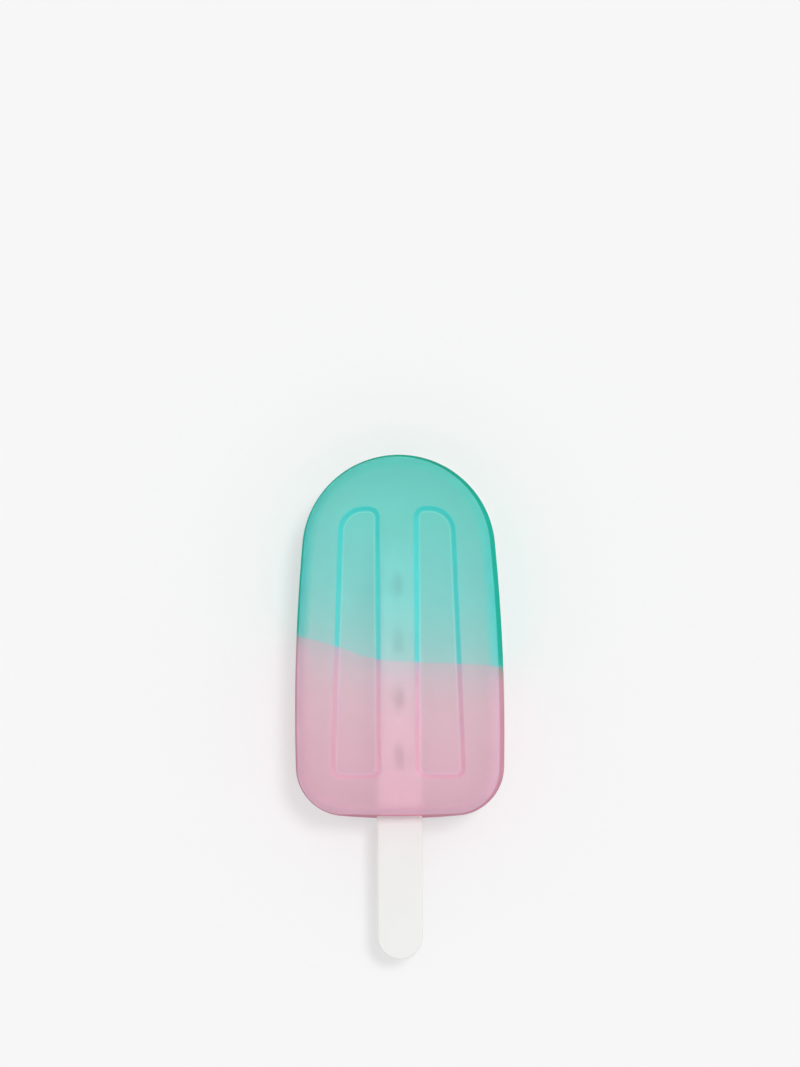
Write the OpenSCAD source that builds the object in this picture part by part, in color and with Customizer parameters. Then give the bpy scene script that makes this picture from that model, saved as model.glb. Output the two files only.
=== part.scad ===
// Ice pop mould for one pop. A soft drafted tray with two sunk panels is closed from behind by
// a lid with a plug wall, and a flat slotted stick passes through a slot in the end wall.
// X runs across, Y runs from the stick end to the dome, and Z rises from the lid's underside.

/* [Tray] */
// Length of the tray over its rim
mould_l = 107.1; // [98:0.1:125]
// Widest width of the tray over its rim
mould_w = 61.7; // [56:0.1:70]
// Depth of the tray from its rim to its front face
mould_h = 20; // [17:0.5:26]
// Thickness of the tray's wall
wall = 2; // [1.4:0.1:2.6]
// Draft of the side walls in degrees
draft = 5; // [2:0.5:7]
// Radius of the edge round the front face
edge_r = 3.5; // [2.8:0.1:4.5]
// Radius of the two corners at the stick end
corner_r = 14.6; // [10:0.1:18]
// Radius of the slight bow of the long sides
side_r = 570; // [450:10:900]
// Height of the widest line above the stick end
belly_y = 28.5; // [22:0.5:36]
// Outward bow of the end wall at the rim
rim_bow = 0.7; // [0.3:0.1:1.5]
// Outward bow of the end wall at the front face
face_bow = 0.1; // [0.05:0.05:0.3]
// Radius of the rim's outer edge
rim_r = 0.4; // [0.2:0.1:0.8]

/* [Panels] */
// Width of the land between the two sunk panels
panel_gap = 11.1; // [10:0.1:14]
// Distance from the tray's long side to a panel's foot
panel_margin = 11.9; // [10:0.1:14]
// Lean of a panel's outer side towards the middle in degrees
panel_lean = 2.1; // [1:0.1:3]
// Distance from the top of the dome to the panels
panel_top = 16.7; // [14:0.1:20]
// Distance from the stick end to the panels
panel_foot = 13; // [10:0.1:16]
// Depth of a panel
panel_depth = 1.4; // [0.8:0.1:2]
// Width of the sloping flank round a panel
flank_w = 1.6; // [1.2:0.1:2]
// Corner radius of a panel under the curve of the dome
panel_dome_r = 6.8; // [5:0.1:8]
// Corner radius of a panel's other corners
panel_r = 2.6; // [2:0.1:4]

/* [Stick] */
// Length of the stick
stick_l = 121; // [110:0.5:135]
// Width of the stick
stick_w = 13.2; // [10:0.1:15]
// Thickness of the stick
stick_t = 2.6; // [2:0.1:3.2]
// How far the stick stands out of the tray
stick_out = 40.3; // [34:0.1:50]
// Radius of the stick's long edges
stick_edge_r = 0.6; // [0.3:0.05:0.9]
// Length of each slot across the stick's middle
slot_l = 6.8; // [5:0.1:8]
// Width of each slot
slot_w = 2.8; // [2:0.1:3.6]
// Distance from one slot to the next
slot_pitch = 16.6; // [12:0.1:17.5]
// Number of slots
slot_count = 4; // [1:1:4]
// Distance from the stick's inner tip to the first slot
slot_start = 12.2; // [9:0.1:15]
// Clearance all round the stick in the end wall
stick_gap = 0.15; // [0.1:0.05:0.3]

/* [Lid] */
// Thickness of the lid's plate
lid_t = 2; // [1.4:0.1:3]
// How far the lid's edge lies inside the tray's rim
lid_setback = 0.3; // [0.1:0.1:0.8]
// Radius of the plate's lower edge
lid_edge_r = 0.7; // [0.3:0.1:1]
// Height of the lid's plug wall
plug_h = 4.2; // [3:0.1:5]
// Thickness of the lid's plug wall
plug_t = 1.5; // [1.2:0.1:2]
// Clearance between the plug wall and the tray
plug_gap = 0.25; // [0.15:0.05:0.4]
// How far the bead stands out of the plug wall
bead = 0.12; // [0.05:0.01:0.14]
// Radius of the fingernail notch in the lid's edge
notch_r = 9; // [6:0.5:12]
// How far the fingernail notch reaches into the lid's edge
notch_in = 1.6; // [0.8:0.1:2]
// Depth of the fingernail notch from the lid's top
notch_d = 1; // [0.6:0.1:1.2]

/* [Hidden] */

// Steps along each stretch of the outline, from the middle of the stick end to the top of the dome
end_n = 6;
corner_n = 12;
side_n = 10;
dome_n = 12;
crown_n = 10;
// Steps along the stretches of a panel that face the middle line
small_n = 6;
inner_n = 10;
edge_n = 7;
flank_n = 4;

half_n = end_n + corner_n + side_n + dome_n + crown_n;
ring_n = 2 * half_n;
mid_n = 2 * small_n + inner_n;
loop_n = half_n + mid_n;

rim_z = lid_t;
face_z = rim_z + mould_h;
end_y = -mould_l / 2;
dome_y = mould_l / 2;
half_w = mould_w / 2;

// The side arc is centred on the widest line, and the dome's radius lets it touch both side arcs.
side_c = [half_w - side_r, end_y + belly_y];
rise = dome_y - side_c.y;
dome_r = (half_w * (2 * side_r - half_w) - rise * rise) / (2 * (side_r - rise));
dome_c = [0, dome_y - dome_r];

function polar(c, r, a) = c + r * [cos(a), sin(a)];
function heading(a, b) = atan2(b.y - a.y, b.x - a.x);

// Points on an arc without its last one, so that the next stretch can follow on
function arc(c, r, a, b, n) = [for (i = [0:n - 1]) polar(c, r, a + (b - a) * i / n)];
function line(a, b, n) = [for (i = [0:n - 1]) a + (b - a) * i / n];

// The lower right point where two circles meet
function meet(p, rp, q, rq) =
    let (
        d = norm(q - p),
        u = (q - p) / d,
        along = (rp * rp - rq * rq + d * d) / (2 * d),
        off = sqrt(rp * rp - along * along)
    ) p + along * u + off * [u.y, -u.x];

// The end wall is an arc of this radius for a given bow over the straight part of the end.
function end_arc_r(bow) = let (c = half_w - corner_r) (c * c + bow * bow) / (2 * bow);
function end_arc_c(bow) = [0, end_y + rim_bow - bow + end_arc_r(bow)];
function corner_c(bow) =
    meet(side_c, side_r - corner_r, end_arc_c(bow), end_arc_r(bow) - corner_r);

// Right half of the outline, a given distance inside the rim, with the top of the dome last
function half_outline(inset, bow) =
    let (
        ec = end_arc_c(bow),
        cc = corner_c(bow),
        a = heading(ec, cc),
        b = heading(side_c, cc),
        c = heading(side_c, dome_c)
    ) concat(
        arc(ec, end_arc_r(bow) - inset, -90, a, end_n),
        arc(cc, corner_r - inset, a, b, corner_n),
        arc(side_c, side_r - inset, b, c, side_n),
        arc(dome_c, dome_r - inset, c, 90, dome_n + crown_n),
        [dome_c + [0, dome_r - inset]]
    );

function mirrored(p) = [-p.x, p.y, p.z];
function ring(inset, bow, z) =
    let (half = [for (p = half_outline(inset, bow)) [p.x, p.y, z]])
    concat(half, [for (i = [half_n - 1:-1:1]) mirrored(half[i])]);

// Outline of the right panel, grown by a given distance, from the start of its foot. Its outer
// side leans towards the middle, and a corner's centre lies a radius inside that side.
panel_x = panel_gap / 2;
panel_y = [end_y + panel_foot, dome_y - panel_top];
function panel_corner(y, r) =
    [
        half_w - panel_margin - (y - panel_y[0]) * tan(panel_lean) - r / cos(panel_lean),
        y
    ];
function panel_loop(grow, z) =
    let (
        low_in = [panel_x + panel_r, panel_y[0] + panel_r],
        low_out = panel_corner(panel_y[0] + panel_r, panel_r),
        top_out = panel_corner(panel_y[1] - panel_dome_r, panel_dome_r),
        top_in = [panel_x + panel_r, panel_y[1] - panel_r],
        small = panel_r + grow,
        large = panel_dome_r + grow,
        flat = concat(
            line(low_in - [0, small], low_out - [0, small], end_n),
            arc(low_out, small, -90, panel_lean, corner_n),
            line(polar(low_out, small, panel_lean), polar(top_out, large, panel_lean), side_n),
            arc(top_out, large, panel_lean, 90, dome_n),
            line(top_out + [0, large], top_in + [0, small], crown_n),
            arc(top_in, small, 90, 180, small_n),
            line(top_in - [small, 0], low_in - [small, 0], inner_n),
            arc(low_in, small, 180, 270, small_n)
        )
    ) [for (p = flat) [p.x, p.y, z]];

// Middle line of a face, level with the points of the panel that faces it
function mid_line(ring_points, loop, z) =
    let (
        top = ring_points[half_n].y,
        foot = ring_points[0].y,
        upper = loop[half_n + small_n].y,
        lower = loop[half_n + small_n + inner_n].y
    ) [for (i = [1:mid_n - 1])
        [
            0,
            i < small_n ? top + (upper - top) * i / small_n
            : i <= small_n + inner_n ? loop[half_n + i].y
            : lower + (foot - lower) * (i - small_n - inner_n) / small_n,
            z
        ]];

// Two triangles for each step between two loops of point numbers, both in the same turning sense
function band(a, b, flip = false) =
    let (n = len(a))
    [for (i = [0:n - 1], k = [0, 1])
        let (
            j = (i + 1) % n,
            t = k == 0 ? [a[i], b[i], b[j]] : [a[i], b[j], a[j]]
        ) flip ? [t[0], t[2], t[1]] : t];
function numbers(start, n) = [for (i = [0:n - 1]) start + i];
function backwards(v) = [for (i = [len(v) - 1:-1:0]) v[i]];

// A panel's floor starts half way round a corner, so that its fan of triangles has no flat one.
function floor_numbers(start) =
    [for (i = [0:loop_n - 1]) start + (i + end_n + floor(corner_n / 2)) % loop_n];

// A skin is a stack of rings that ends in a face with the two panels sunk into it.
function skin_points(rings, loops, z) =
    let (last = rings[len(rings) - 1])
    concat(
        [for (r = rings, p = r) p],
        mid_line(last, loops[0], z),
        [for (l = loops, p = l) p],
        [for (l = loops, p = l) mirrored(p)]
    );
function skin_faces(start, ring_count, loop_count, flip) =
    let (
        last = start + (ring_count - 1) * ring_n,
        mid = last + ring_n,
        right = mid + mid_n - 1,
        left = right + loop_count * loop_n,
        to_right = concat(numbers(last, half_n + 1), numbers(mid, mid_n - 1)),
        to_left = concat(
            [for (i = [0:half_n]) last + (ring_n - i) % ring_n],
            numbers(mid, mid_n - 1)
        ),
        floor_r = floor_numbers(right + (loop_count - 1) * loop_n),
        floor_l = floor_numbers(left + (loop_count - 1) * loop_n)
    ) concat(
        [for (k = [0:ring_count - 2])
            each band(
                numbers(start + k * ring_n, ring_n),
                numbers(start + (k + 1) * ring_n, ring_n),
                flip
            )],
        band(to_right, numbers(right, loop_n), flip),
        band(to_left, numbers(left, loop_n), !flip),
        [for (k = [0:loop_count - 2])
            each concat(
                band(
                    numbers(right + k * loop_n, loop_n),
                    numbers(right + (k + 1) * loop_n, loop_n),
                    flip
                ),
                band(
                    numbers(left + k * loop_n, loop_n),
                    numbers(left + (k + 1) * loop_n, loop_n),
                    !flip
                )
            )],
        [flip ? floor_r : backwards(floor_r), flip ? backwards(floor_l) : floor_l]
    );

// Inset and height of the wall line, which leans in by the draft and then turns over the edge.
// The inner skin runs a wall's thickness inside the outer one.
function wall_in(z) = (z - rim_z) * tan(draft);
function bow_at(z) = rim_bow + (face_bow - rim_bow) * (z - rim_z) / mould_h;
function edge_profile(deep) =
    let (
        r = edge_r - deep,
        zc = face_z - edge_r,
        z0 = zc + r * sin(draft),
        ic = wall_in(z0) + deep / cos(draft) + r * cos(draft)
    ) [for (i = [0:edge_n])
        let (a = draft + (90 - draft) * i / edge_n)
        [ic - r * cos(a), zc + r * sin(a)]];
function wall_profile(deep) =
    deep == 0
    ? concat(
        [for (i = [0:2]) [rim_r * (1 - sin(45 * i)), rim_z + rim_r * (1 - cos(45 * i))]],
        edge_profile(0)
    )
    : concat([[deep / cos(draft), rim_z]], edge_profile(deep));
function wall_rings(profile) = [for (p = profile) ring(p[0], bow_at(p[1]), p[1])];

// The flank is an S curve from the face down to the panel's floor.
function flank_loops(z, shift) =
    [for (i = [0:flank_n])
        let (t = i / flank_n)
        panel_loop(shift + flank_w * (0.5 - t), z - panel_depth * t * t * (3 - 2 * t))];

// Passage for the stick through the end wall, or the stick itself, as a rounded bar section
module bar_section(w, t, r) {
    square([w - 2 * r, t], center = true);
    square([w, t - 2 * r], center = true);
    for (x = [-1, 1], y = [-1, 1]) {
        translate([x * (w / 2 - r), y * (t / 2 - r)]) circle(r = r, $fn = 32);
    }
}

stick_z = (rim_z + face_z - wall) / 2;
passage_l = wall + wall_in(stick_z) + 3;

module mould_shell() {
    outer = wall_rings(wall_profile(0));
    inner = wall_rings(wall_profile(wall));
    // A flank that leans at the same slope on both sides of the wall keeps its thickness.
    shift = wall * tan(atan(panel_depth / flank_w) / 2);
    outer_loops = flank_loops(face_z, 0);
    inner_loops = flank_loops(face_z - wall, shift);
    outer_points = skin_points(outer, outer_loops, face_z);
    inner_points = skin_points(inner, inner_loops, face_z - wall);
    first_inner = len(outer_points);
    color("#7ccfc7") difference() {
        polyhedron(
            points = concat(outer_points, inner_points),
            faces = concat(
                skin_faces(0, len(outer), len(outer_loops), false),
                skin_faces(first_inner, len(inner), len(inner_loops), true),
                band(numbers(first_inner, ring_n), numbers(0, ring_n))
            ),
            convexity = 8
        );
        translate([0, end_y + passage_l, stick_z]) rotate([90, 0, 0])
            linear_extrude(2 * passage_l)
                bar_section(
                    stick_w + 2 * stick_gap,
                    stick_t + 2 * stick_gap,
                    stick_edge_r + stick_gap
                );
    }
}

// A loft closed by a flat face at each end, from the outside of the bottom to the inside floor
module loft(rings) {
    count = len(rings);
    polyhedron(
        points = [for (r = rings, p = r) p],
        faces = concat(
            [numbers(0, ring_n)],
            [for (k = [0:count - 2])
                each band(numbers(k * ring_n, ring_n), numbers((k + 1) * ring_n, ring_n))],
            [backwards(numbers((count - 1) * ring_n, ring_n))]
        ),
        convexity = 6
    );
}

module lid() {
    top_r = lid_t / 8;
    tip = rim_z + plug_h;
    bead_z = rim_z + plug_h * 0.6;
    bead_h = plug_h * 0.15;
    tip_r = plug_t / 4;
    plug_in = wall / cos(draft) + plug_gap;
    // Inset and height round the plate, up the plug wall with its bead, over its tip and down inside
    profile = [
        [lid_setback + lid_edge_r, 0],
        [lid_setback + lid_edge_r * 0.3, lid_edge_r * 0.3],
        [lid_setback, lid_edge_r],
        [lid_setback, lid_t - top_r],
        [lid_setback + top_r, lid_t],
        [plug_in, lid_t],
        [plug_in + wall_in(bead_z - bead_h), bead_z - bead_h],
        [plug_in + wall_in(bead_z) - bead, bead_z],
        [plug_in + wall_in(bead_z + bead_h), bead_z + bead_h],
        [plug_in + wall_in(tip), tip - tip_r],
        [plug_in + wall_in(tip) + tip_r, tip],
        [plug_in + wall_in(tip) + plug_t - tip_r, tip],
        [plug_in + wall_in(tip) + plug_t, tip - tip_r],
        [plug_in + plug_t, lid_t]
    ];
    color("#eef1f0") difference() {
        loft([for (p = profile) ring(p[0], bow_at(p[1]), p[1])]);
        translate([0, dome_y - lid_setback - notch_in + notch_r, lid_t - notch_d])
            cylinder(r = notch_r, h = notch_d + 1, $fn = 72);
    }
}

// The stick is a bar with half round ends, cut by the slots that hold it in the ice.
module stick() {
    end_r = stick_w / 2;
    low = end_y - stick_out + end_r;
    high = low + stick_l - stick_w;
    color("#f4f4f2") difference() {
        union() {
            translate([0, high, stick_z]) rotate([90, 0, 0])
                linear_extrude(high - low) bar_section(stick_w, stick_t, stick_edge_r);
            for (end = [[low, 180], [high, 0]]) {
                translate([0, end[0], stick_z])
                    rotate([0, 0, end[1]])
                        rotate_extrude(angle = 180, $fn = 96)
                            intersection() {
                                bar_section(stick_w, stick_t, stick_edge_r);
                                translate([0, -stick_t]) square([stick_w, 2 * stick_t]);
                            }
            }
        }
        for (i = [0:slot_count - 1]) {
            translate([0, high + end_r - slot_start - i * slot_pitch, stick_z - stick_t])
                linear_extrude(2 * stick_t) slot_section();
        }
    }
}

module slot_section() {
    square([slot_w, slot_l - slot_w], center = true);
    for (y = [-1, 1]) {
        translate([0, y * (slot_l - slot_w) / 2]) circle(d = slot_w, $fn = 32);
    }
}

lid();
mould_shell();
stick();
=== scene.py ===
# %% [markdown]
# # An ice pop mould
# The object is a kitchen mould for one ice pop. A soft silicone tray gives the pop its shape, a
# snap-in lid closes the tray from behind, and a flat slotted stick passes through the end wall.
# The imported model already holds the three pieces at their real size, so this lesson gives each
# one smooth surfaces and a true finish, and puts them before a camera in soft light.

# %% Load the three pieces
import math

import bmesh
import bpy
from mathutils import Matrix, Vector


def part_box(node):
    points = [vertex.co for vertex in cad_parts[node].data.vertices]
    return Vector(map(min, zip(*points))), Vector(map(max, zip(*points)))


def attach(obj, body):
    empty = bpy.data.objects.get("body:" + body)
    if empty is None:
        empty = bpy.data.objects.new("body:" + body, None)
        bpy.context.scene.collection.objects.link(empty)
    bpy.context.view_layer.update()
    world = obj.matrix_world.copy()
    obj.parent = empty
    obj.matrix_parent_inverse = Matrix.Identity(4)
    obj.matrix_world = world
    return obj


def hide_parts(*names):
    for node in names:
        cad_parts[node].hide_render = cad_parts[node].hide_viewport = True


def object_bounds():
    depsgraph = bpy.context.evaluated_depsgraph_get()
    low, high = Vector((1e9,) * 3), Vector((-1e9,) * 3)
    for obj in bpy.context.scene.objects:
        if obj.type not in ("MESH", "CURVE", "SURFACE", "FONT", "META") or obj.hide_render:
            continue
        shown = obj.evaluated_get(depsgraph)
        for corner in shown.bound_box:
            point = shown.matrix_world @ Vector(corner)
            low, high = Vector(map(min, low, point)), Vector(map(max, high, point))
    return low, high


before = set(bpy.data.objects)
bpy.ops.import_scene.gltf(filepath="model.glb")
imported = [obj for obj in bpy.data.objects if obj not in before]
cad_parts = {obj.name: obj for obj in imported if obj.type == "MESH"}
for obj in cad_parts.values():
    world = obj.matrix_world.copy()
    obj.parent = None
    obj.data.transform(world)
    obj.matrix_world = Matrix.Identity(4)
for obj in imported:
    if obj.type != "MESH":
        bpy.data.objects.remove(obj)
cad_low, cad_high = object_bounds()
MM = 0.001
print("pieces:", sorted(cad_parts))

# %% [markdown]
# ## Two helpers
# Every node tree below is built with one function, which adds a node, sets it and links it.
# Colours are written as they look on a screen, and a second function turns them to the linear
# values that Blender works in.

# %% Add a node
def add(tree, kind, inputs=None, out=0, **settings):
    """Adds a node and returns one of its outputs. An input is a value, a link or a list of links."""
    made = tree.nodes.new(kind)
    for name, value in settings.items():
        setattr(made, name, value)
    for key, value in (inputs or {}).items():
        for one in value if isinstance(value, list) else [value]:
            if isinstance(one, bpy.types.NodeSocket):
                tree.links.new(one, made.inputs[key])
            else:
                made.inputs[key].default_value = one
    return made.outputs[out] if made.outputs else None


# %% Read a colour
def linear(hex_colour):
    """The linear colour of an sRGB hex value such as 0x7CCFC7."""
    shares = [((hex_colour >> shift) & 255) / 255 for shift in (16, 8, 0)]
    bright = [s / 12.92 if s <= 0.04045 else ((s + 0.055) / 1.055) ** 2.4 for s in shares]
    return (*bright, 1.0)


print("silicone green in linear values:", [round(v, 3) for v in linear(0x7CCFC7)])

# %% [markdown]
# ## The camera
# A catalogue picture is taken from straight above with a long lens, so the outline stays true and
# only a thin strip of each side wall shows. The camera stands a little to the right of the mould
# and a little below it, which is why the right wall and the stick end's wall can be seen.

# %% Stand the camera over the mould
FRAME_H = 1067
MM_PER_PIXEL = 0.292
CAMERA_DISTANCE = 0.9
SENSOR = 36.0
# The point in the middle of the picture, the way from there to the camera, and its turn.
AIM = Vector((0.00065, 0.02995, 0.011))
LEAN = Vector((0.025, -0.034, 1.0)).normalized()
ROLL = math.radians(0.35)
NEAREST = 0.01
FARTHEST = 20.0

camera_data = bpy.data.cameras.new("camera")
camera_data.sensor_width = SENSOR
camera_data.lens = SENSOR * CAMERA_DISTANCE / (FRAME_H * MM_PER_PIXEL * MM)
camera_data.clip_start = NEAREST
camera_data.clip_end = FARTHEST
camera = bpy.data.objects.new("camera", camera_data)
bpy.context.scene.collection.objects.link(camera)
up = Vector((math.sin(ROLL), math.cos(ROLL), 0.0))
right = up.cross(LEAN).normalized()
turn = Matrix((right, LEAN.cross(right), LEAN)).transposed().to_4x4()
camera.matrix_world = Matrix.Translation(AIM + LEAN * CAMERA_DISTANCE) @ turn
bpy.context.scene.camera = camera
print("lens in millimetres:", round(camera_data.lens, 1))

# %% [markdown]
# ## Floor and light
# The mould lies on pale paper. A pale backdrop should look the same in every view, so the floor
# and the world show their colour to the camera by themselves, and the floor mixes in its own
# shading to keep the shadow. The light is one wide soft lamp from the upper right in an even
# white surround. Together they are at a level where a colour looks as it is written.

# %% Lay the paper
PAPER = linear(0xF7F7F7)
PAPER_GLOW = 0.45
FLOOR_R = 3.0
FLOOR_SIDES = 64
# The floor lies a hair below the lid, so that the two faces don't fight for the same place.
FLOOR_GAP = 0.0001


def seen_directly(tree):
    """1 on rays that show the backdrop: from the camera, off a gloss or through a clear piece."""
    ray = add(tree, "ShaderNodeLightPath").node.outputs
    either = add(tree, "ShaderNodeMath", {0: ray["Is Camera Ray"], 1: ray["Is Glossy Ray"]},
                 operation="MAXIMUM")
    return add(tree, "ShaderNodeMath", {0: either, 1: ray["Is Transmission Ray"]},
               operation="MAXIMUM")


def paper():
    """Matt white paper, which scatters light evenly and has no gloss."""
    material = bpy.data.materials.new("matt_white_paper")
    material.use_nodes = True
    tree = material.node_tree
    tree.nodes.clear()
    shaded = add(tree, "ShaderNodeBsdfDiffuse", {"Color": PAPER})
    glowing = add(tree, "ShaderNodeEmission", {"Color": PAPER, "Strength": 1.0})
    share = add(tree, "ShaderNodeMath", {0: seen_directly(tree), 1: PAPER_GLOW},
                operation="MULTIPLY")
    mixed = add(tree, "ShaderNodeMixShader", {0: share, 1: shaded, 2: glowing})
    add(tree, "ShaderNodeOutputMaterial", {"Surface": mixed})
    return material


floor_mesh = bpy.data.meshes.new("floor")
shape = bmesh.new()
bmesh.ops.create_circle(shape, cap_ends=True, radius=FLOOR_R, segments=FLOOR_SIDES)
shape.to_mesh(floor_mesh)
shape.free()
floor = bpy.data.objects.new("floor", floor_mesh)
floor.location.z = cad_low.z - FLOOR_GAP
floor_mesh.materials.append(paper())
bpy.context.scene.collection.objects.link(floor)
print("paper under the mould:", 2 * FLOOR_R, "m across")

# %% Light the room
SURROUND = 0.68
LAMP_SHARE = 0.32
LAMP_WIDTH = math.radians(16)
LAMP_FROM = Vector((0.30, 0.29, 1.0))

world = bpy.data.worlds.new("white_surround")
world.use_nodes = True
tree = world.node_tree
tree.nodes.clear()
direct = seen_directly(tree)
strength = add(tree, "ShaderNodeMapRange", {"Value": direct, "To Min": SURROUND, "To Max": 1.0})
shown = add(tree, "ShaderNodeMix", {"Factor": direct, 6: linear(0xFFFFFF), 7: PAPER},
            out=2, data_type="RGBA")
background = add(tree, "ShaderNodeBackground", {"Color": shown, "Strength": strength})
add(tree, "ShaderNodeOutputWorld", {"Surface": background})
bpy.context.scene.world = world

lamp_data = bpy.data.lights.new("soft_lamp", "SUN")
lamp_data.energy = LAMP_SHARE * math.pi / LAMP_FROM.normalized().z
lamp_data.angle = LAMP_WIDTH
lamp = bpy.data.objects.new("soft_lamp", lamp_data)
lamp.rotation_euler = LAMP_FROM.to_track_quat("Z", "Y").to_euler()
bpy.context.scene.collection.objects.link(lamp)
bpy.context.scene.view_settings.view_transform = "Standard"
print("light from the surround and from the lamp:", SURROUND, LAMP_SHARE)

# %% [markdown]
# ## The outline that tray and lid share
# A mould maker draws the outline with arcs: a slightly bowed end wall, two generous corners, two
# almost straight sides that are widest low down, and a dome that runs on from the sides without
# a kink. The end wall is more bowed at the rim than at the front face, so the outline is drawn
# for both, and each point keeps the step between the two. A drawing is a mesh of loose edges,
# since its points can then carry numbers that travel through the node trees.

# %% Sizes of the tray
tray_low, tray_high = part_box("mould_shell")
rim_z = tray_low.z / MM
face_z = tray_high.z / MM
depth = face_z - rim_z
half_w = (tray_high.x - tray_low.x) / MM / 2
end_y = tray_low.y / MM
dome_y = tray_high.y / MM
WALL = 2.0
DRAFT = math.radians(5)
CORNER_R = 14.6
SIDE_R = 570.0
# The sides are widest this far above the stick end.
BELLY = 28.5
RIM_BOW = 0.7
FACE_BOW = 0.1
print("tray:", round(2 * half_w, 2), "by", round(dome_y - end_y, 2), "by", round(depth, 2), "mm")


# %% Arcs that run on from one another
def polar(centre, radius, angle):
    """The point at an angle on a circle."""
    return centre + radius * Vector((math.cos(angle), math.sin(angle)))


def heading(a, b):
    """The angle at which b is seen from a."""
    return math.atan2(b.y - a.y, b.x - a.x)


def arc(centre, radius, start, end, steps):
    """Points on an arc without its last one, so that the next stretch can follow on."""
    return [polar(centre, radius, start + (end - start) * i / steps) for i in range(steps)]


def straight(a, b, steps):
    """Points on a straight stretch, also without its last one."""
    return [a + (b - a) * i / steps for i in range(steps)]


def meet(p, reach_p, q, reach_q):
    """The lower right point at given distances from two centres."""
    along = ((q - p).length_squared + reach_p**2 - reach_q**2) / (2 * (q - p).length)
    ahead = (q - p).normalized()
    aside = math.sqrt(reach_p**2 - along**2)
    return p + along * ahead + aside * Vector((ahead.y, -ahead.x))


quarter = arc(Vector((0, 0)), 10, 0, math.pi / 2, 3)
print("a quarter circle of 10 mm in 3 steps:", [(round(p.x, 1), round(p.y, 1)) for p in quarter])


# %% The outline of the tray
END_STEPS = 12
CORNER_STEPS = 28
SIDE_STEPS = 24
DOME_STEPS = 48
side_c = Vector((half_w - SIDE_R, end_y + BELLY))
rise = dome_y - side_c.y
dome_r = (half_w * (2 * SIDE_R - half_w) - rise**2) / (2 * (SIDE_R - rise))
dome_c = Vector((0.0, dome_y - dome_r))


def tray_outline(bow):
    """The whole outline, anticlockwise from the middle of the stick end, for a bowed end wall."""
    chord = half_w - CORNER_R
    end_r = (chord**2 + bow**2) / (2 * bow)
    end_c = Vector((0.0, end_y + RIM_BOW - bow + end_r))
    corner_c = meet(side_c, SIDE_R - CORNER_R, end_c, end_r - CORNER_R)
    low, high, top = heading(end_c, corner_c), heading(side_c, corner_c), heading(side_c, dome_c)
    half = [
        *arc(end_c, end_r, -math.pi / 2, low, END_STEPS),
        *arc(corner_c, CORNER_R, low, high, CORNER_STEPS),
        *arc(side_c, SIDE_R, high, top, SIDE_STEPS),
        *arc(dome_c, dome_r, top, math.pi / 2, DOME_STEPS),
        polar(dome_c, dome_r, math.pi / 2),
    ]
    return half + [Vector((-p.x, p.y)) for p in half[-2:0:-1]]


rim_line = tray_outline(RIM_BOW)
face_line = tray_outline(FACE_BOW)
bow_steps = [(b - a).to_3d() for a, b in zip(rim_line, face_line)]
print("dome radius:", round(dome_r, 2), "mm, points on the outline:", len(rim_line))

# %% [markdown]
# ## The two sunk panels
# Each panel stands beside the middle land. Its outer side leans a little towards the middle, and
# the corner under the dome has a large radius, so that the panel follows the dome. The left
# panel is the right one turned over, with its points in reverse order, so that both lines still
# run anticlockwise.

# %% The outline of a panel
# The land between the panels and the land beside a panel's foot, from flank to flank.
PANEL_GAP = 11.1
PANEL_MARGIN = 11.9
PANEL_LEAN = math.radians(2.1)
PANEL_TOP = 16.7
PANEL_FOOT = 13.0
PANEL_DEPTH = 1.4
FLANK_W = 1.6
PANEL_R = 2.6
PANEL_DOME_R = 6.8
ACROSS_STEPS = 8
ALONG_STEPS = 24
SMALL_STEPS = 16
LARGE_STEPS = 28


def right_panel():
    """The line half way down the flank of the right panel, from the start of its foot."""
    inner_x = PANEL_GAP / 2 + PANEL_R
    foot_y = end_y + PANEL_FOOT

    def outer_corner(y, radius):
        """The centre of a round corner on the leaning side, so far along the tray."""
        lean_in = (y - foot_y) * math.tan(PANEL_LEAN) + radius / math.cos(PANEL_LEAN)
        return Vector((half_w - PANEL_MARGIN - lean_in, y))

    foot_in = Vector((inner_x, foot_y + PANEL_R))
    foot_out = outer_corner(foot_y + PANEL_R, PANEL_R)
    top_out = outer_corner(dome_y - PANEL_TOP - PANEL_DOME_R, PANEL_DOME_R)
    top_in = Vector((inner_x, dome_y - PANEL_TOP - PANEL_R))
    side_foot = polar(foot_out, PANEL_R, PANEL_LEAN)
    side_top = polar(top_out, PANEL_DOME_R, PANEL_LEAN)
    down, left = Vector((0.0, -1.0)), Vector((-1.0, 0.0))
    return [
        *straight(foot_in + PANEL_R * down, foot_out + PANEL_R * down, ACROSS_STEPS),
        *arc(foot_out, PANEL_R, -math.pi / 2, PANEL_LEAN, SMALL_STEPS),
        *straight(side_foot, side_top, ALONG_STEPS),
        *arc(top_out, PANEL_DOME_R, PANEL_LEAN, math.pi / 2, LARGE_STEPS),
        *straight(top_out - PANEL_DOME_R * down, top_in - PANEL_R * down, ACROSS_STEPS),
        *arc(top_in, PANEL_R, math.pi / 2, math.pi, SMALL_STEPS),
        *straight(top_in + PANEL_R * left, foot_in + PANEL_R * left, ALONG_STEPS),
        *arc(foot_in, PANEL_R, math.pi, 1.5 * math.pi, SMALL_STEPS),
    ]


panel_right = right_panel()
panel_left = [Vector((-p.x, p.y)) for p in reversed(panel_right)]
print("panel width at the foot:", round(max(p.x for p in panel_right) - PANEL_GAP / 2, 1), "mm")


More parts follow.
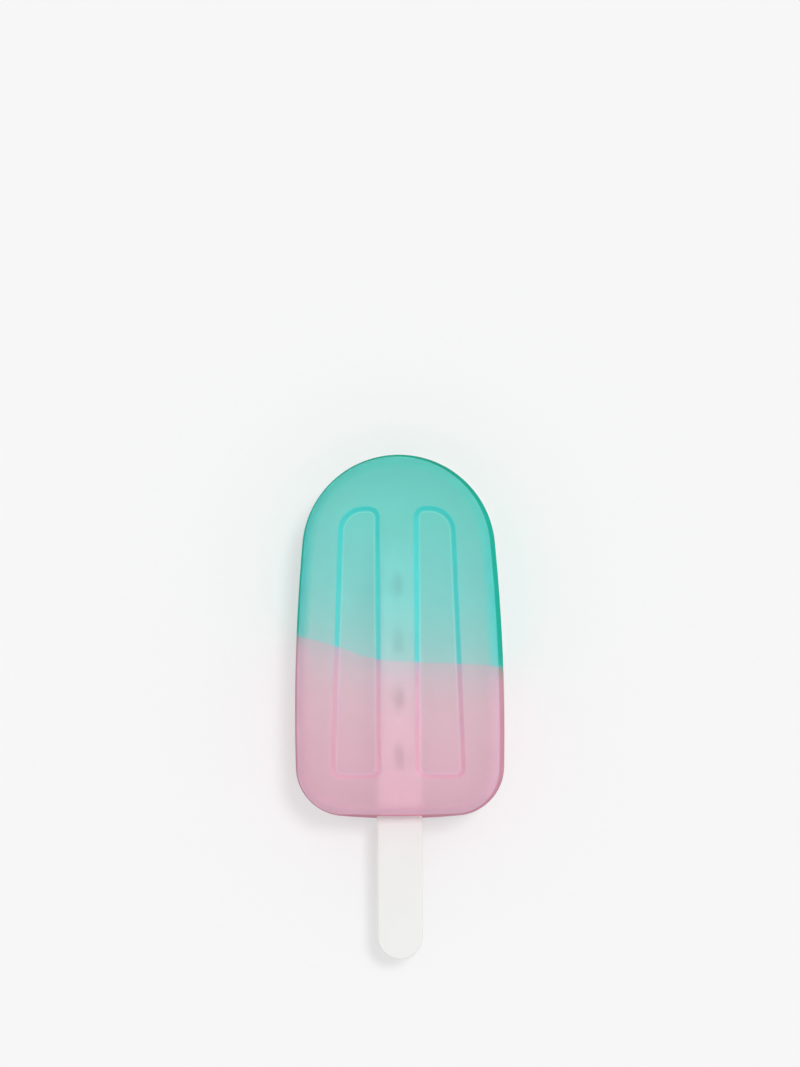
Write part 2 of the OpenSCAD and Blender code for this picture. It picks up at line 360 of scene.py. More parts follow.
# %% Turn lines into a drawing
def drawing(name, lines, closed=True, **numbers):
    """An object of loose edges in millimetres. Each name in numbers has one value a point."""
    points, edges = [], []
    for line in lines:
        first, count = len(points), len(line)
        stretches = count if closed else count - 1
        points += [p.to_3d() for p in line]
        edges += [(first + i, first + (i + 1) % count) for i in range(stretches)]
    mesh = bpy.data.meshes.new(name)
    mesh.from_pydata(points, edges, [])
    for number, values in numbers.items():
        plain = isinstance(values[0], float)
        kind, key = ("FLOAT", "value") if plain else ("FLOAT_VECTOR", "vector")
        stored = mesh.attributes.new(number, kind, "POINT").data
        for one, value in zip(stored, values):
            setattr(one, key, value)
    made = bpy.data.objects.new(name, mesh)
    bpy.context.scene.collection.objects.link(made)
    return made


def outline_drawing(name, outline, inner_lines, bow=None):
    """The outline and the lines inside it. The points know which they are and their bow."""
    inside = sum(len(line) for line in inner_lines)
    still = [Vector((0.0, 0.0, 0.0))]
    return drawing(
        name,
        [outline, *inner_lines],
        inner=[0.0] * len(outline) + [1.0] * inside,
        bow=(bow or still * len(outline)) + still * inside,
    )


def section(name, corners, lift=1):
    """A section from rows of height, distance outwards, rounding radius and flank share.
    A sweep lays a drawing's X outwards and its Y downwards, so each height changes its sign.
    A lift of -1 turns the section over."""
    return drawing(
        name,
        [[Vector((outward, -lift * height)) for height, outward, _, _ in corners]],
        closed=False,
        round=[float(radius) for _, _, radius, _ in corners],
        flank=[float(flank) for _, _, _, flank in corners],
    )


# %% [markdown]
# ## One node tree for every moulded piece
# A moulded piece comes out of two tool halves, so its surface is two skins that meet on the
# parting line: outside and inside for the tray, above and below for the lid and the stick. All
# of these skins are made alike, so one Geometry Nodes group makes them. It sweeps a section
# round the outline, sweeps another round the inner lines, such as panels or slots, and fills the
# flat face between them. The corners of a section are rounded by Fillet Curve, which reads each
# corner's radius from the drawing. Placing vertices in a loop would do too, but a tree keeps
# the sections and steps as inputs that a reader can change.

# %% Start a tree with named inputs
def new_tree(name, sizes):
    """A Geometry Nodes tree and the outputs of its input node, by name."""
    made = bpy.data.node_groups.new(name, "GeometryNodeTree")
    made.interface.new_socket("Geometry", in_out="INPUT", socket_type="NodeSocketGeometry")
    for size, kind in sizes.items():
        made.interface.new_socket(size, in_out="INPUT", socket_type="NodeSocket" + kind)
    made.interface.new_socket("Geometry", in_out="OUTPUT", socket_type="NodeSocketGeometry")
    return made, made.nodes.new("NodeGroupInput").outputs


# %% The group that makes one skin
def skin_group():
    """Sweeps an edge section and an inner section, and fills the face between their ends."""
    tree, given = new_tree("moulded_skin", {
        "Edge section": "Object",
        "Inner section": "Object",
        "Close inner lines": "Bool",
        "Bow start": "Float",
        "Bow depth": "Float",
        "Rounding steps": "Int",
    })
    rails = add(tree, "GeometryNodeMeshToCurve", {"Mesh": given["Geometry"]})
    rails = add(tree, "GeometryNodeSetCurveNormal", {"Curve": rails}, mode="Z_UP")
    inner = add(tree, "GeometryNodeInputNamedAttribute", {"Name": "inner"}, data_type="FLOAT")
    parts = add(tree, "GeometryNodeSeparateGeometry", {"Geometry": rails, "Selection": inner},
                domain="CURVE").node.outputs
    inside, outside = parts["Selection"], parts["Inverted"]
    edge, hollow = [
        add(tree, "GeometryNodeObjectInfo", {"Object": given[name]}).node.outputs["Geometry"]
        for name in ("Edge section", "Inner section")
    ]

    def swept(rail, drawn):
        """The drawn section with its corners rounded, swept along the rail."""
        drawn = add(tree, "GeometryNodeMeshToCurve", {"Mesh": drawn})
        radius = add(tree, "GeometryNodeInputNamedAttribute", {"Name": "round"}, data_type="FLOAT")
        drawn = add(tree, "GeometryNodeFilletCurve", {
            "Curve": drawn, "Radius": radius, "Count": given["Rounding steps"],
            "Limit Radius": True,
        }, mode="POLY")
        return add(tree, "GeometryNodeCurveToMesh", {"Curve": rail, "Profile Curve": drawn})

    def point_of(drawn, last=False):
        """The height and the distance outwards of a section's first or last point."""
        count = add(tree, "GeometryNodeAttributeDomainSize", {0: drawn}, component="MESH")
        number = add(tree, "ShaderNodeMath", {0: count, 1: 1.0}, operation="SUBTRACT")
        place = add(tree, "GeometryNodeSampleIndex", {
            "Geometry": drawn, "Value": add(tree, "GeometryNodeInputPosition"),
            "Index": number if last else 0,
        }, data_type="FLOAT_VECTOR")
        at = add(tree, "ShaderNodeSeparateXYZ", {0: place}).node.outputs
        return add(tree, "ShaderNodeMath", {0: at["Y"], 1: -1.0}, operation="MULTIPLY"), at["X"]

    def bowed(geometry):
        """Moves each point by its share of the bow, which grows with height."""
        position = add(tree, "GeometryNodeInputPosition")
        height = add(tree, "ShaderNodeSeparateXYZ", {0: position}, out="Z")
        share = add(tree, "ShaderNodeMath", {0: height, 1: given["Bow start"]},
                    operation="SUBTRACT")
        share = add(tree, "ShaderNodeMath", {0: share, 1: given["Bow depth"]}, operation="DIVIDE")
        bow = add(tree, "GeometryNodeInputNamedAttribute", {"Name": "bow"},
                  data_type="FLOAT_VECTOR")
        shift = add(tree, "ShaderNodeVectorMath", {0: bow, "Scale": share}, operation="SCALE")
        return add(tree, "GeometryNodeSetPosition", {"Geometry": geometry, "Offset": shift})

    def laid(rail, height, outward):
        """The rail moved to one point of a section."""
        aside = add(tree, "ShaderNodeVectorMath", {
            0: add(tree, "GeometryNodeInputNormal"), "Scale": outward,
        }, operation="SCALE")
        up = add(tree, "ShaderNodeCombineXYZ", {"Z": height})
        offset = add(tree, "ShaderNodeVectorMath", {0: aside, 1: up}, operation="ADD")
        return add(tree, "GeometryNodeSetPosition", {"Geometry": rail, "Offset": offset})

    def filled(lines, height):
        """A flat face inside the lines. Filling drops their height, so it is given back."""
        flat = add(tree, "GeometryNodeFillCurve", {"Curve": lines}, mode="TRIANGLES")
        up = add(tree, "ShaderNodeCombineXYZ", {"Z": height})
        return add(tree, "GeometryNodeSetPosition", {"Geometry": flat, "Offset": up})

    end, start, foot = point_of(edge, last=True), point_of(hollow), point_of(hollow, last=True)
    ring = add(tree, "GeometryNodeJoinGeometry", {0: [
        bowed(laid(outside, *end)), laid(inside, *start),
    ]})
    floors = add(tree, "GeometryNodeSwitch", {
        "Switch": given["Close inner lines"], "True": filled(laid(inside, *foot), foot[0]),
    }, input_type="GEOMETRY")
    joined = add(tree, "GeometryNodeJoinGeometry", {0: [
        bowed(swept(outside, edge)), swept(inside, hollow), filled(ring, end[0]), floors,
    ]})
    add(tree, "NodeGroupOutput", {0: joined})
    return tree


skin = skin_group()
print("nodes in the skin group:", len(skin.nodes))


# %% The tree that joins two skins and cuts them
def piece_tree():
    """Front skin and turned back skin, welded on the parting line, less the cutter."""
    tree, given = new_tree("moulded_piece", {
        "Front edge": "Object",
        "Front hollow": "Object",
        "Back edge": "Object",
        "Back hollow": "Object",
        "Close hollows": "Bool",
        "Bow start": "Float",
        "Bow depth": "Float",
        "Rounding steps": "Int",
        "Weld distance": "Float",
        "Cutter": "Object",
        "Metres": "Vector",
        "Material": "Material",
        "Back material": "Material",
    })

    def half(side):
        """One skin, from the sections of the front or of the back."""
        return add(tree, "GeometryNodeGroup", {
            "Geometry": given["Geometry"],
            "Edge section": given[side + " edge"],
            "Inner section": given[side + " hollow"],
            "Close inner lines": given["Close hollows"],
            "Bow start": given["Bow start"],
            "Bow depth": given["Bow depth"],
            "Rounding steps": given["Rounding steps"],
        }, node_tree=skin)

    turned = add(tree, "GeometryNodeFlipFaces", {"Mesh": half("Back")})
    turned = add(tree, "GeometryNodeStoreNamedAttribute", {
        "Geometry": turned, "Name": "back", "Value": True,
    }, data_type="BOOLEAN", domain="FACE")
    closed = add(tree, "GeometryNodeJoinGeometry", {0: [half("Front"), turned]})
    closed = add(tree, "GeometryNodeMergeByDistance", {
        "Geometry": closed, "Distance": given["Weld distance"],
    })
    cutter = add(tree, "GeometryNodeObjectInfo", {"Object": given["Cutter"]}).node.outputs
    cut = add(tree, "GeometryNodeMeshBoolean", {"Mesh 1": closed, "Mesh 2": cutter["Geometry"]},
              operation="DIFFERENCE")
    sized = add(tree, "GeometryNodeTransform", {"Geometry": cut, "Scale": given["Metres"]})
    real = add(tree, "GeometryNodeRealizeInstances", {"Geometry": sized})
    made = add(tree, "GeometryNodeSetMaterial", {"Geometry": real, "Material": given["Material"]})
    back = add(tree, "GeometryNodeInputNamedAttribute", {"Name": "back"}, data_type="BOOLEAN")
    made = add(tree, "GeometryNodeSetMaterial", {
        "Geometry": made, "Selection": back, "Material": given["Back material"],
    })
    add(tree, "NodeGroupOutput", {0: made})
    return tree


moulded = piece_tree()
print("inputs of the piece tree:", sum(i.in_out == "INPUT" for i in moulded.interface.items_tree))


# %% Run the tree on a drawing
# An edge that turns by less than this is shaded smooth.
SMOOTH_UNDER = math.radians(32)
SAME_FOR_ALL = {"Rounding steps": 10, "Weld distance": 0.002, "Metres": (MM, MM, MM)}


def mould(name, sizes):
    """The piece that the tree makes, as a plain mesh object. All drawings are deleted."""
    lines = sizes["Lines"]
    modifier = lines.modifiers.new("moulded_piece", "NODES")
    modifier.node_group = moulded
    sizes = {**SAME_FOR_ALL, **sizes}
    # The tree's inputs have plain names, but a modifier knows each one by its identifier.
    for item in moulded.interface.items_tree:
        if item.in_out == "INPUT" and item.name in sizes:
            modifier[item.identifier] = sizes[item.name]
    bpy.context.view_layer.update()
    solved = lines.evaluated_get(bpy.context.evaluated_depsgraph_get())
    mesh = bpy.data.meshes.new_from_object(solved)
    for drawn in [d for d in sizes.values() if isinstance(d, bpy.types.Object)]:
        bpy.data.objects.remove(drawn)
    shape = bmesh.new()
    shape.from_mesh(mesh)
    bmesh.ops.recalc_face_normals(shape, faces=shape.faces)
    open_edges = sum(not edge.is_manifold for edge in shape.edges)
    size = shape.calc_volume() / MM**3
    shape.to_mesh(mesh)
    shape.free()
    mesh.shade_smooth()
    mesh.set_sharp_from_angle(angle=SMOOTH_UNDER)
    mesh.name = name
    made = bpy.data.objects.new(name, mesh)
    bpy.context.scene.collection.objects.link(made)
    print(name, "has", len(mesh.polygons), "faces,", open_edges, "open edges,", round(size), "mm3")
    return made


def prism(name, outline, low, high, place):
    """A closed bar of the outline from low to high, turned and moved by place, to cut with."""
    shape = bmesh.new()
    foot = shape.faces.new([shape.verts.new((p.x, p.y, low)) for p in outline])
    top = bmesh.ops.extrude_face_region(shape, geom=[foot])["geom"]
    raised = [v for v in top if isinstance(v, bmesh.types.BMVert)]
    bmesh.ops.translate(shape, verts=raised, vec=(0.0, 0.0, high - low))
    bmesh.ops.transform(shape, matrix=place, verts=shape.verts)
    bmesh.ops.recalc_face_normals(shape, faces=shape.faces)
    mesh = bpy.data.meshes.new(name)
    shape.to_mesh(mesh)
    shape.free()
    made = bpy.data.objects.new(name, mesh)
    bpy.context.scene.collection.objects.link(made)
    return made


# %% [markdown]
# ## Silicone in two colours
# The tray is silicone rubber pressed from two charges, sea green at the dome and rose pink at the
# stick end. They meet in a wavy line that is sharp where one charge ends on the surface, while
# the other charge runs on as a thin wedge below it, so each side fades over a few centimetres.
# The line is a given curve across the width, and the colour is a ramp over the distance
# from it, which is worked out from the object's own coordinates and so stays put in every view.
# The rubber is frosted by its matt outer tool half, and smoother inside so that the pop slips
# out. So the outer skin is rough, holds the colour and passes about half of the light, and the
# inner skin is clear. The stick then shows through as a soft pale band.
#
# The eye looks through more rubber on the panels' flanks, round the face's edge and along the
# walls, so the colour is deeper there and less light comes through. The flank share that the
# sections carry and the turn of the surface say where. Each of these places has its own ramp,
# mixed over the ramp of the flat face. These ramps also hold painted light and shade: the flank
# ramp is kept lighter than the depth alone would make it, as painted light that the flanks
# catch; the edge ramp's pink and its stop at the dome are lighter, a painted highlight along the
# rounded edge; and the wall ramp's darkest stop, at the dome, is painted shade. Round each
# panel's floor the flank share dips below zero, and a fifth ramp paints a thin highlight there,
# the light line that the inside of the bend throws.
#
# Some light is lost between the skins, so a base colour has to be lighter than the colour that
# the eye meets. The stops below are colours as seen. The gloss that lies over them is taken off,
# and a measured gain turns the rest to base colours. The index of refraction is lower than the
# 1.41 of real silicone, since a render follows only a few bounces, and a dense body would keep
# more light than it should.

# %% Start a material
def new_material(name, **sockets):
    """A material with one Principled shader, and the values that are the same all over it."""
    made = bpy.data.materials.new(name)
    made.use_nodes = True
    shader = made.node_tree.nodes["Principled BSDF"]
    for socket, value in sockets.items():
        shader.inputs[socket.replace("_", " ")].default_value = value
    return made, made.node_tree, shader.inputs


# %% The line where the two colours meet
COLOUR_LINE = [(-31, 0.8), (-18, -2.8), (-6, -6.6), (5, -7.5), (18, -8.1), (28, -8.9), (31, -10.2)]
LINE_LOW = -12.0
LINE_HIGH = 4.0
print("the colours meet between", COLOUR_LINE[-1][1], "and", COLOUR_LINE[0][1], "mm")


def above_line(tree, place):
    """Distance in millimetres above the line where the colours meet, from object coordinates."""
    at = add(tree, "ShaderNodeSeparateXYZ", {0: place}).node.outputs
    first, last = COLOUR_LINE[0], COLOUR_LINE[-1]
    across = add(tree, "ShaderNodeMapRange", {
        "Value": at["X"], "From Min": first[0] * MM, "From Max": last[0] * MM,
    })
    drawn = add(tree, "ShaderNodeFloatCurve", {"Value": across})
    spots = [
        ((x - first[0]) / (last[0] - first[0]), (y - LINE_LOW) / (LINE_HIGH - LINE_LOW))
        for x, y in COLOUR_LINE
    ]
    points = drawn.node.mapping.curves[0].points
    points[0].location, points[1].location = spots[0], spots[-1]
    for spot in spots[1:-1]:
        points.new(*spot)
    drawn.node.mapping.update()
    line = add(tree, "ShaderNodeMapRange", {"Value": drawn, "To Min": LINE_LOW, "To Max": LINE_HIGH})
    height = add(tree, "ShaderNodeMath", {0: at["Y"], 1: 1 / MM}, operation="MULTIPLY")
    return add(tree, "ShaderNodeMath", {0: height, 1: line}, operation="SUBTRACT")


# %% Colours by distance from the line
RAMP_LOW = -48.0
RAMP_HIGH = 62.0
# What the gloss adds to every colour, and the share of a base colour that reaches the eye.
SEEN_GLOSS = 0.02
SEEN_GAIN = 0.67
FACE_STOPS = [
    (-41, 0xD4ADBB), (-29, 0xD6B1BE), (-17, 0xD7B5C1), (-11, 0xD5B7C1), (-5, 0xD0BAC3),
    (-0.3, 0xC6BCC4), (0.3, 0xA1CBC9), (6, 0x96CCC9), (18, 0x89CDC9), (30, 0x82CCC7),
    (41, 0x7BCCC4), (56, 0x74CAC2),
]
# Deeper than the face, and kept light as painted light that the flanks catch.
FLANK_STOPS = [
    (-30, 0xD6A5B7), (-10, 0xD4A8B9), (-4, 0xCEA8BB), (-0.3, 0xBAB0C2), (0.3, 0x63CAC9),
    (18, 0x5CCCCA), (50, 0x50CCC8),
]
# A painted highlight: the thin light line round each panel's floor.
PAINTED_HIGHLIGHT_STOPS = [
    (-30, 0xF0B8C8), (-4, 0xE0C0CC), (-0.3, 0xD0C4CC), (0.3, 0xA4D6D2), (18, 0x8EDCD4),
    (50, 0x7CDACE),
]
# Deeper green, while the pink and the stop at 50 mm are lighter, a painted highlight on the edge.
EDGE_STOPS = [
    (-40, 0xE4BDCE), (-10, 0xE0BCCE), (-4, 0xD0BACA), (-0.3, 0xBAB6C4), (0.3, 0x54CFCF),
    (20, 0x45CFCE), (50, 0x66C9C1),
]
# Deep from the long look through the rubber; the darker stop at 58 mm is painted shade at the dome.
WALL_STOPS = [
    (-40, 0xEA9CAF), (-4, 0xE8A2B2), (-1, 0xB8A8A6), (1, 0x3CBCAC), (4, 0x00BDA9), (43, 0x00BDA8),
    (58, 0x00A68C),
]


def ramp(tree, distance, stops):
    """A colour for each distance above the line, from stops of distance and colour as seen."""
    share = add(tree, "ShaderNodeMapRange",
                {"Value": distance, "From Min": RAMP_LOW, "From Max": RAMP_HIGH})
    colour = add(tree, "ShaderNodeValToRGB", {"Fac": share})
    elements = colour.node.color_ramp.elements
    elements.remove(elements[1])
    for i, (place, hex_colour) in enumerate(stops):
        position = (place - RAMP_LOW) / (RAMP_HIGH - RAMP_LOW)
        element = elements.new(position) if i else elements[0]
        element.position = position
        element.color = [min(max(v - SEEN_GLOSS, 0) / SEEN_GAIN, 1) for v in linear(hex_colour)]
    return colour


print("the ramps cover", RAMP_HIGH - RAMP_LOW, "mm with up to", len(FACE_STOPS), "stops each")

# %% The silicone
SILICONE_IOR = 1.2
FACE_PASS = 0.5
THICK_PASS = 0.35
FACE_ROUGH = 0.7
WALL_ROUGH = 1.0
INSIDE_ROUGH = 0.4
# The upright part of a face's normal at which a wall starts, and at which it is all wall.
WALL_FROM = 0.4
WALL_FULL = 0.1
EDGE_SHARE = 0.68
# Pigment milled into the rubber leaves faint clouds a few millimetres wide.
MOTTLE = 6.0
MOTTLE_SHARE = 0.03
# A spark-eroded tool leaves a grain of about 0.05 mm, too fine to show, so it is drawn coarser.
GRAIN = 0.35
GRAIN_HEIGHT = 0.02


def silicone_rubber():
    """The outer skin of moulded silicone rubber: soft gloss, deep colour and blurred light."""
    material, tree, shader = new_material(
        "silicone_rubber_two_charges", IOR=SILICONE_IOR)
    place = add(tree, "ShaderNodeTexCoord", out="Object")
    normal = add(tree, "ShaderNodeTexCoord", out="Normal")
    distance = above_line(tree, place)
    flank = add(tree, "ShaderNodeAttribute", out="Fac")
    flank.node.attribute_name = "flank"
    upright = add(tree, "ShaderNodeSeparateXYZ", {0: normal}, out="Z")
    upright = add(tree, "ShaderNodeMath", {0: upright}, operation="ABSOLUTE")
    tilt = add(tree, "ShaderNodeVectorMath", {0: normal, 1: (1, 1, 0)}, operation="MULTIPLY")
    tilt = add(tree, "ShaderNodeVectorMath", {0: tilt}, out="Value", operation="LENGTH")
    edge = add(tree, "ShaderNodeMapRange", {"Value": tilt, "To Max": EDGE_SHARE})
    wall = add(tree, "ShaderNodeMapRange", {
        "Value": upright, "From Min": WALL_FROM, "From Max": WALL_FULL,
    }, interpolation_type="SMOOTHSTEP")
    thick = add(tree, "ShaderNodeMath", {0: edge, 1: edge}, operation="MULTIPLY")
    thick = add(tree, "ShaderNodeMath", {0: thick, 1: flank}, operation="MAXIMUM")
    passed = add(tree, "ShaderNodeMapRange",
                 {"Value": thick, "To Min": FACE_PASS, "To Max": THICK_PASS})
    tree.links.new(passed, shader["Transmission Weight"])
    # The painted highlight's share, where the flank share dips below zero.
    light = add(tree, "ShaderNodeMath", {0: flank, 1: -1.0}, operation="MULTIPLY")
    base = ramp(tree, distance, FACE_STOPS)
    for share, stops in (
        (edge, EDGE_STOPS), (flank, FLANK_STOPS), (light, PAINTED_HIGHLIGHT_STOPS), (wall, WALL_STOPS),
    ):
        base = add(tree, "ShaderNodeMix", {
            "Factor": share, 6: base, 7: ramp(tree, distance, stops),
        }, out=2, data_type="RGBA")
    cloud = add(tree, "ShaderNodeTexNoise", {"Vector": place, "Scale": 1 / (MOTTLE * MM)})
    value = add(tree, "ShaderNodeMapRange", {
        "Value": cloud, "To Min": 1 - MOTTLE_SHARE, "To Max": 1 + MOTTLE_SHARE,
    })
    base = add(tree, "ShaderNodeHueSaturation", {"Value": value, "Color": base})
    tree.links.new(base, shader["Base Color"])
    rough = add(tree, "ShaderNodeMapRange",
                {"Value": wall, "To Min": FACE_ROUGH, "To Max": WALL_ROUGH})
    tree.links.new(rough, shader["Roughness"])
    grain = add(tree, "ShaderNodeTexNoise", {"Vector": place, "Scale": 1 / (GRAIN * MM)})
    bump = add(tree, "ShaderNodeBump", {"Height": grain, "Distance": GRAIN_HEIGHT * MM})
    tree.links.new(bump, shader["Normal"])
    return material


silicone = silicone_rubber()
# The tool's core is only satin, so the inner skin is clear but blurs what lies behind it a little.
clear_silicone, _, _ = new_material(
    "silicone_rubber_satin_inside", IOR=SILICONE_IOR, Transmission_Weight=1.0,
    Roughness=INSIDE_ROUGH, Base_Color=linear(0xFFFFFF))
print("nodes in the silicone:", len(silicone.node_tree.nodes))

# %% [markdown]
# ## Polypropylene for stick and lid
# The stick is white polypropylene, moulded with a satin face. Its pigment still lets a little
# light through, which softens the shade in the slots. The lid is the same plastic without
# pigment, which is milky and lets more light through. Both have the faint flow marks and the
# fine grain of a moulded face.

# %% Polypropylene
POLYPROPYLENE_IOR = 1.49
LID_PASS = 0.28
STICK_PASS = 0.12
SMOOTHEST = 0.36
ROUGHEST = 0.46
FLOW = 9.0
FLOW_SHARE = 0.015


def polypropylene(name, base, **sockets):
    """Moulded polypropylene: a satin surface with faint flow marks along the piece."""
    material, tree, shader = new_material(name, IOR=POLYPROPYLENE_IOR, **sockets)
    place = add(tree, "ShaderNodeTexCoord", out="Object")
    marks = add(tree, "ShaderNodeTexNoise", {"Vector": place, "Scale": 1 / (FLOW * MM)})
    value = add(tree, "ShaderNodeMapRange", {
        "Value": marks, "To Min": 1 - FLOW_SHARE, "To Max": 1 + FLOW_SHARE,
    })
    tint = add(tree, "ShaderNodeHueSaturation", {"Value": value, "Color": linear(base)})
    tree.links.new(tint, shader["Base Color"])
    rough = add(tree, "ShaderNodeMapRange",
                {"Value": marks, "To Min": SMOOTHEST, "To Max": ROUGHEST})
    tree.links.new(rough, shader["Roughness"])
    grain = add(tree, "ShaderNodeTexNoise", {"Vector": place, "Scale": 1 / (GRAIN * MM)})
    bump = add(tree, "ShaderNodeBump", {"Height": grain, "Distance": GRAIN_HEIGHT * MM})
    tree.links.new(bump, shader["Normal"])
    return material


lid_plastic = polypropylene("natural_polypropylene", 0xEBEEEC, Transmission_Weight=LID_PASS)
stick_plastic = polypropylene("white_polypropylene", 0xF8F8F6, Transmission_Weight=STICK_PASS)
print("plastics:", lid_plastic.name, "and", stick_plastic.name)

# %% [markdown]
# ## The tray
# The tray holds the juice and gives the pop its shape. Its walls lean in by a few degrees towards
# the front face, so that the rubber lets go of the tool and the pop lets go of the rubber, and
# the edge round the face is well rounded. The outer skin's section runs from the middle of the
# rim over that edge to the flat face. The inner skin's section is the same line one wall
# thickness further in, so the wall stays even round the panels too, where the flank is an S
# curve with no hard line. The stick's passage in the end wall is cut out last with a rounded bar,
# because a hole through both skins is simplest as a cut.

# %% Sections of the tray
EDGE_R = 3.5
RIM_R = 0.4
RIM_INNER_R = 0.25
# Both wall sections end this far inside the outline, on the flat face beyond the edge's round.
FACE_IN = 5.5
slope = math.tan(DRAFT)
wall_across = WALL / math.cos(DRAFT)
print("the walls lean in by", round(depth * slope, 2), "mm from the rim to the face")


def wall_section(name, deep, edge_r, rim_r):
    """From the middle of the rim over the wall's edge to the flat face, a distance inside."""
    foot = deep / math.cos(DRAFT)
    return section(name, [
        (rim_z, -wall_across / 2, 0, 0),
        (rim_z, -foot, rim_r, 0),
        (face_z - deep, -foot - (depth - deep) * slope, edge_r, 0),
        (face_z - deep, -FACE_IN, 0, 0),
    ])


FLANK_STEPS = 14
FLANK_LEVEL = 4


def flank_section(name, deep, shift):
    """An S curve from the face down to the panel's floor, level for a little at both ends.
    The flank share is 1 down the flank and dips below 0 round the floor, for a painted highlight."""
    rows = []
    for i in range(-FLANK_LEVEL, FLANK_STEPS + FLANK_LEVEL + 1):
        along = i / FLANK_STEPS
        t = min(max(along, 0), 1)
        past = max(i - FLANK_STEPS, 0) / FLANK_LEVEL
        rows.append((
            face_z - deep - PANEL_DEPTH * t * t * (3 - 2 * t),
            shift + FLANK_W * (0.5 - along),
            0,
            1 - (2 * t - 1) ** 4 - math.sin(math.pi * past),
        ))
    return section(name, rows)


# %% Mould the tray
STICK_GAP = 0.15
stick_low, stick_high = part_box("stick")
stick_w = (stick_high.x - stick_low.x) / MM
stick_t = (stick_high.z - stick_low.z) / MM
stick_z = (stick_high.z + stick_low.z) / MM / 2
STICK_EDGE_R = 0.6
# How far the bar that cuts the passage reaches past the end wall, outside and inside.
CUT_OUTSIDE = 3.0
CUT_INSIDE = 3.5


def rounded_box(width, height, radius, steps=6):
    """An upright rectangle with round corners, anticlockwise from its lower right corner."""
    x, y = width / 2 - radius, height / 2 - radius
    corners = [(x, -y), (x, y), (-x, y), (-x, -y)]
    return [
        p
        for i, corner in enumerate(corners)
        for p in arc(Vector(corner), radius, (i - 1) * math.pi / 2, i * math.pi / 2, steps)
        + [polar(Vector(corner), radius, i * math.pi / 2)]
    ]


passage = prism(
    "passage",
    rounded_box(stick_w + 2 * STICK_GAP, stick_t + 2 * STICK_GAP, STICK_EDGE_R + STICK_GAP),
    -CUT_OUTSIDE,
    WALL + CUT_INSIDE,
    Matrix.Translation((0, end_y, stick_z)) @ Matrix.Rotation(-math.pi / 2, 4, "X"),
)
tray = mould("tray", {
    "Lines": outline_drawing("tray_lines", rim_line, [panel_right, panel_left], bow_steps),
    "Front edge": wall_section("outer_wall", 0, EDGE_R, RIM_R),
    "Front hollow": flank_section("outer_flank", 0, 0),
    "Back edge": wall_section("inner_wall", WALL, EDGE_R - WALL, RIM_INNER_R),
    "Back hollow": flank_section(
        "inner_flank", WALL, WALL * math.tan(math.atan(PANEL_DEPTH / FLANK_W) / 2)),
    "Close hollows": True,
    "Bow start": rim_z,
    "Bow depth": depth,
    "Cutter": passage,
    "Material": silicone,
    "Back material": clear_silicone,
})
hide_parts("mould_shell")
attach(tray, "mould")

# %% [markdown]
# ## The lid
# A tray that is open at the back needs a lid, and a lid that seals juice has a plug wall that
# presses into the rim. A small bead round the plug wall snaps past the rim's inner edge, and a
# shallow notch over the dome gives a fingernail a hold. The same tree makes the lid from another
# pair of sections: one runs from the edge of the plate up and over the plug wall, the other is
# the rounded edge below. The parting line lies a little under the plate's top, where the two
# skins meet on a plain upright edge. The notch is cut with a round bar.

# %% Mould the lid
lid_low, lid_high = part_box("lid")
LID_T = 2.0
LID_SETBACK = 0.3
LID_PARTING = 0.85
LID_EDGE_R = 0.7
LID_TOP_R = 0.25
PLUG_T = 1.5
PLUG_GAP = 0.25
PLUG_FOOT_R = 0.1
PLUG_BACK_R = 0.5
PLUG_TIP_R = 0.6
BEAD = 0.12
BEAD_H = 0.63
BEAD_R = 0.8
BEAD_SIDE_R = 0.5
BEAD_PLACE = 0.6
NOTCH_R = 9.0
NOTCH_IN = 1.6
NOTCH_DEPTH = 1.0
NOTCH_DEGREES = 3
# A section runs on past its last corner by this much, and a cut past the face that it opens.
MARGIN = 1.0
plug_h = lid_high.z / MM - LID_T
bead_z = LID_T + plug_h * BEAD_PLACE
plug_in = wall_across + PLUG_GAP


def plug(z):
    """Distance of the plug wall outside the outline, which leans in like the tray's wall."""
    return -plug_in - (z - rim_z) * slope


tip_z = LID_T + plug_h
lid_top = section("lid_top", [
    (LID_PARTING, -LID_SETBACK, 0, 0),
    (LID_T, -LID_SETBACK, LID_TOP_R, 0),
    (LID_T, plug(LID_T), PLUG_FOOT_R, 0),
    (bead_z - BEAD_H, plug(bead_z - BEAD_H), BEAD_SIDE_R, 0),
    (bead_z, plug(bead_z) + BEAD, BEAD_R, 0),
    (bead_z + BEAD_H, plug(bead_z + BEAD_H), BEAD_SIDE_R, 0),
    (tip_z, plug(tip_z), PLUG_TIP_R, 0),
    (tip_z, plug(tip_z) - PLUG_T, PLUG_TIP_R, 0),
    (LID_T, -plug_in - PLUG_T, PLUG_BACK_R, 0),
    (LID_T, -plug_in - PLUG_T - MARGIN, 0, 0),
])
lid_foot = section("lid_foot", [
    (LID_PARTING, -LID_SETBACK, 0, 0),
    (0, -LID_SETBACK, LID_EDGE_R, 0),
    (0, -LID_SETBACK - LID_EDGE_R - MARGIN, 0, 0),
])
notch_line = [
    polar(Vector((0, 0)), NOTCH_R, math.radians(a)) for a in range(0, 360, NOTCH_DEGREES)
]
notch = prism("notch", notch_line, LID_T - NOTCH_DEPTH, LID_T + MARGIN, Matrix.Translation(
    (0, dome_y - LID_SETBACK - NOTCH_IN + NOTCH_R, 0)))
lid = mould("snap_lid", {
    "Lines": outline_drawing("lid_lines", rim_line, [], bow_steps),
    "Front edge": lid_top,
    "Back edge": lid_foot,
    "Close hollows": False,
    "Bow start": rim_z,
    "Bow depth": depth,
    "Cutter": notch,
    "Material": lid_plastic,
    "Back material": lid_plastic,
})
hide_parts("lid")
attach(lid, "lid")

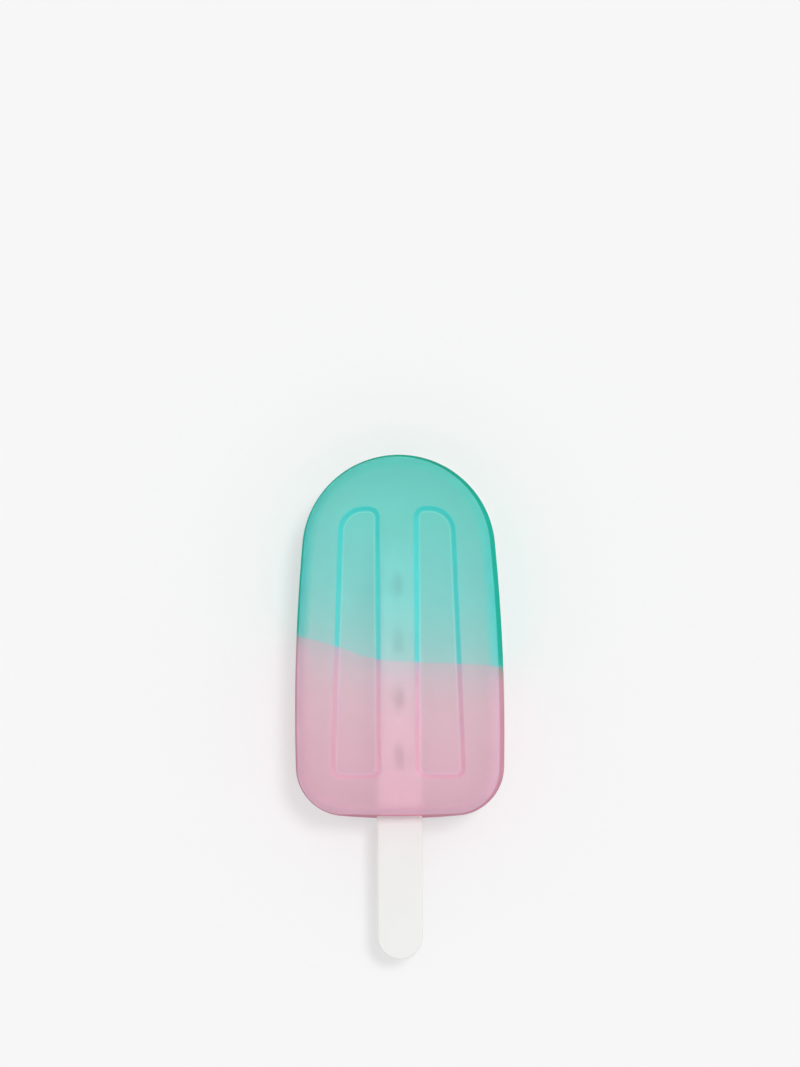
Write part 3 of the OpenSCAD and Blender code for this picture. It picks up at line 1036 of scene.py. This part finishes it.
# %% [markdown]
# ## The stick
# The stick is a flat bar with half round ends. Four slots in its inner end fill with juice, and
# the ice in them keeps the pop from sliding off. It is moulded in two equal halves, so both
# skins take the same two sections, one of them turned over: the rounded long edge, and the
# slightly rounded mouth of a slot. The slots are inner lines here, left open instead of filled.

# %% Mould the stick
SLOT_L = 6.8
SLOT_W = 2.8
SLOT_PITCH = 16.6
SLOT_START = 12.2
SLOT_COUNT = 4
SLOT_EDGE_R = 0.25
BAR_STEPS = 40
SLOT_STEPS = 16


def stadium(foot_y, top_y, width, steps):
    """A line round a strip with half round ends, anticlockwise."""
    r = width / 2
    low, high = Vector((0.0, foot_y + r)), Vector((0.0, top_y - r))
    return [
        *arc(low, r, -math.pi, 0, steps),
        *straight(low + Vector((r, 0)), high + Vector((r, 0)), steps),
        *arc(high, r, 0, math.pi, steps),
        *straight(high - Vector((r, 0)), low - Vector((r, 0)), steps),
    ]


def bar_section(name, lift):
    """The long edge of one half, from the parting line round to the flat face."""
    return section(name, [
        (0, 0, 0, 0), (stick_t / 2, 0, STICK_EDGE_R, 0), (stick_t / 2, -MARGIN, 0, 0),
    ], lift)


def slot_section(name, lift):
    """A slot's mouth in one half, from the flat face down to the parting line."""
    return section(name, [
        (stick_t / 2, MARGIN / 2, 0, 0), (stick_t / 2, 0, SLOT_EDGE_R, 0), (0, 0, 0, 0),
    ], lift)


tip_y = stick_high.y / MM
slots = []
for i in range(SLOT_COUNT):
    middle = tip_y - SLOT_START - i * SLOT_PITCH
    slots.append(stadium(middle - SLOT_L / 2, middle + SLOT_L / 2, SLOT_W, SLOT_STEPS))
bar = stadium(stick_low.y / MM, tip_y, stick_w, BAR_STEPS)
stick = mould("stick_bar", {
    "Lines": outline_drawing("stick_lines", bar, slots),
    "Front edge": bar_section("bar_top", 1),
    "Front hollow": slot_section("slot_top", 1),
    "Back edge": bar_section("bar_foot", -1),
    "Back hollow": slot_section("slot_foot", -1),
    "Close hollows": False,
    "Bow start": 0.0,
    "Bow depth": 1.0,
    "Material": stick_plastic,
    "Back material": stick_plastic,
})
stick.data.transform(Matrix.Translation((0, 0, stick_z * MM)))
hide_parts("stick")
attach(stick, "stick")
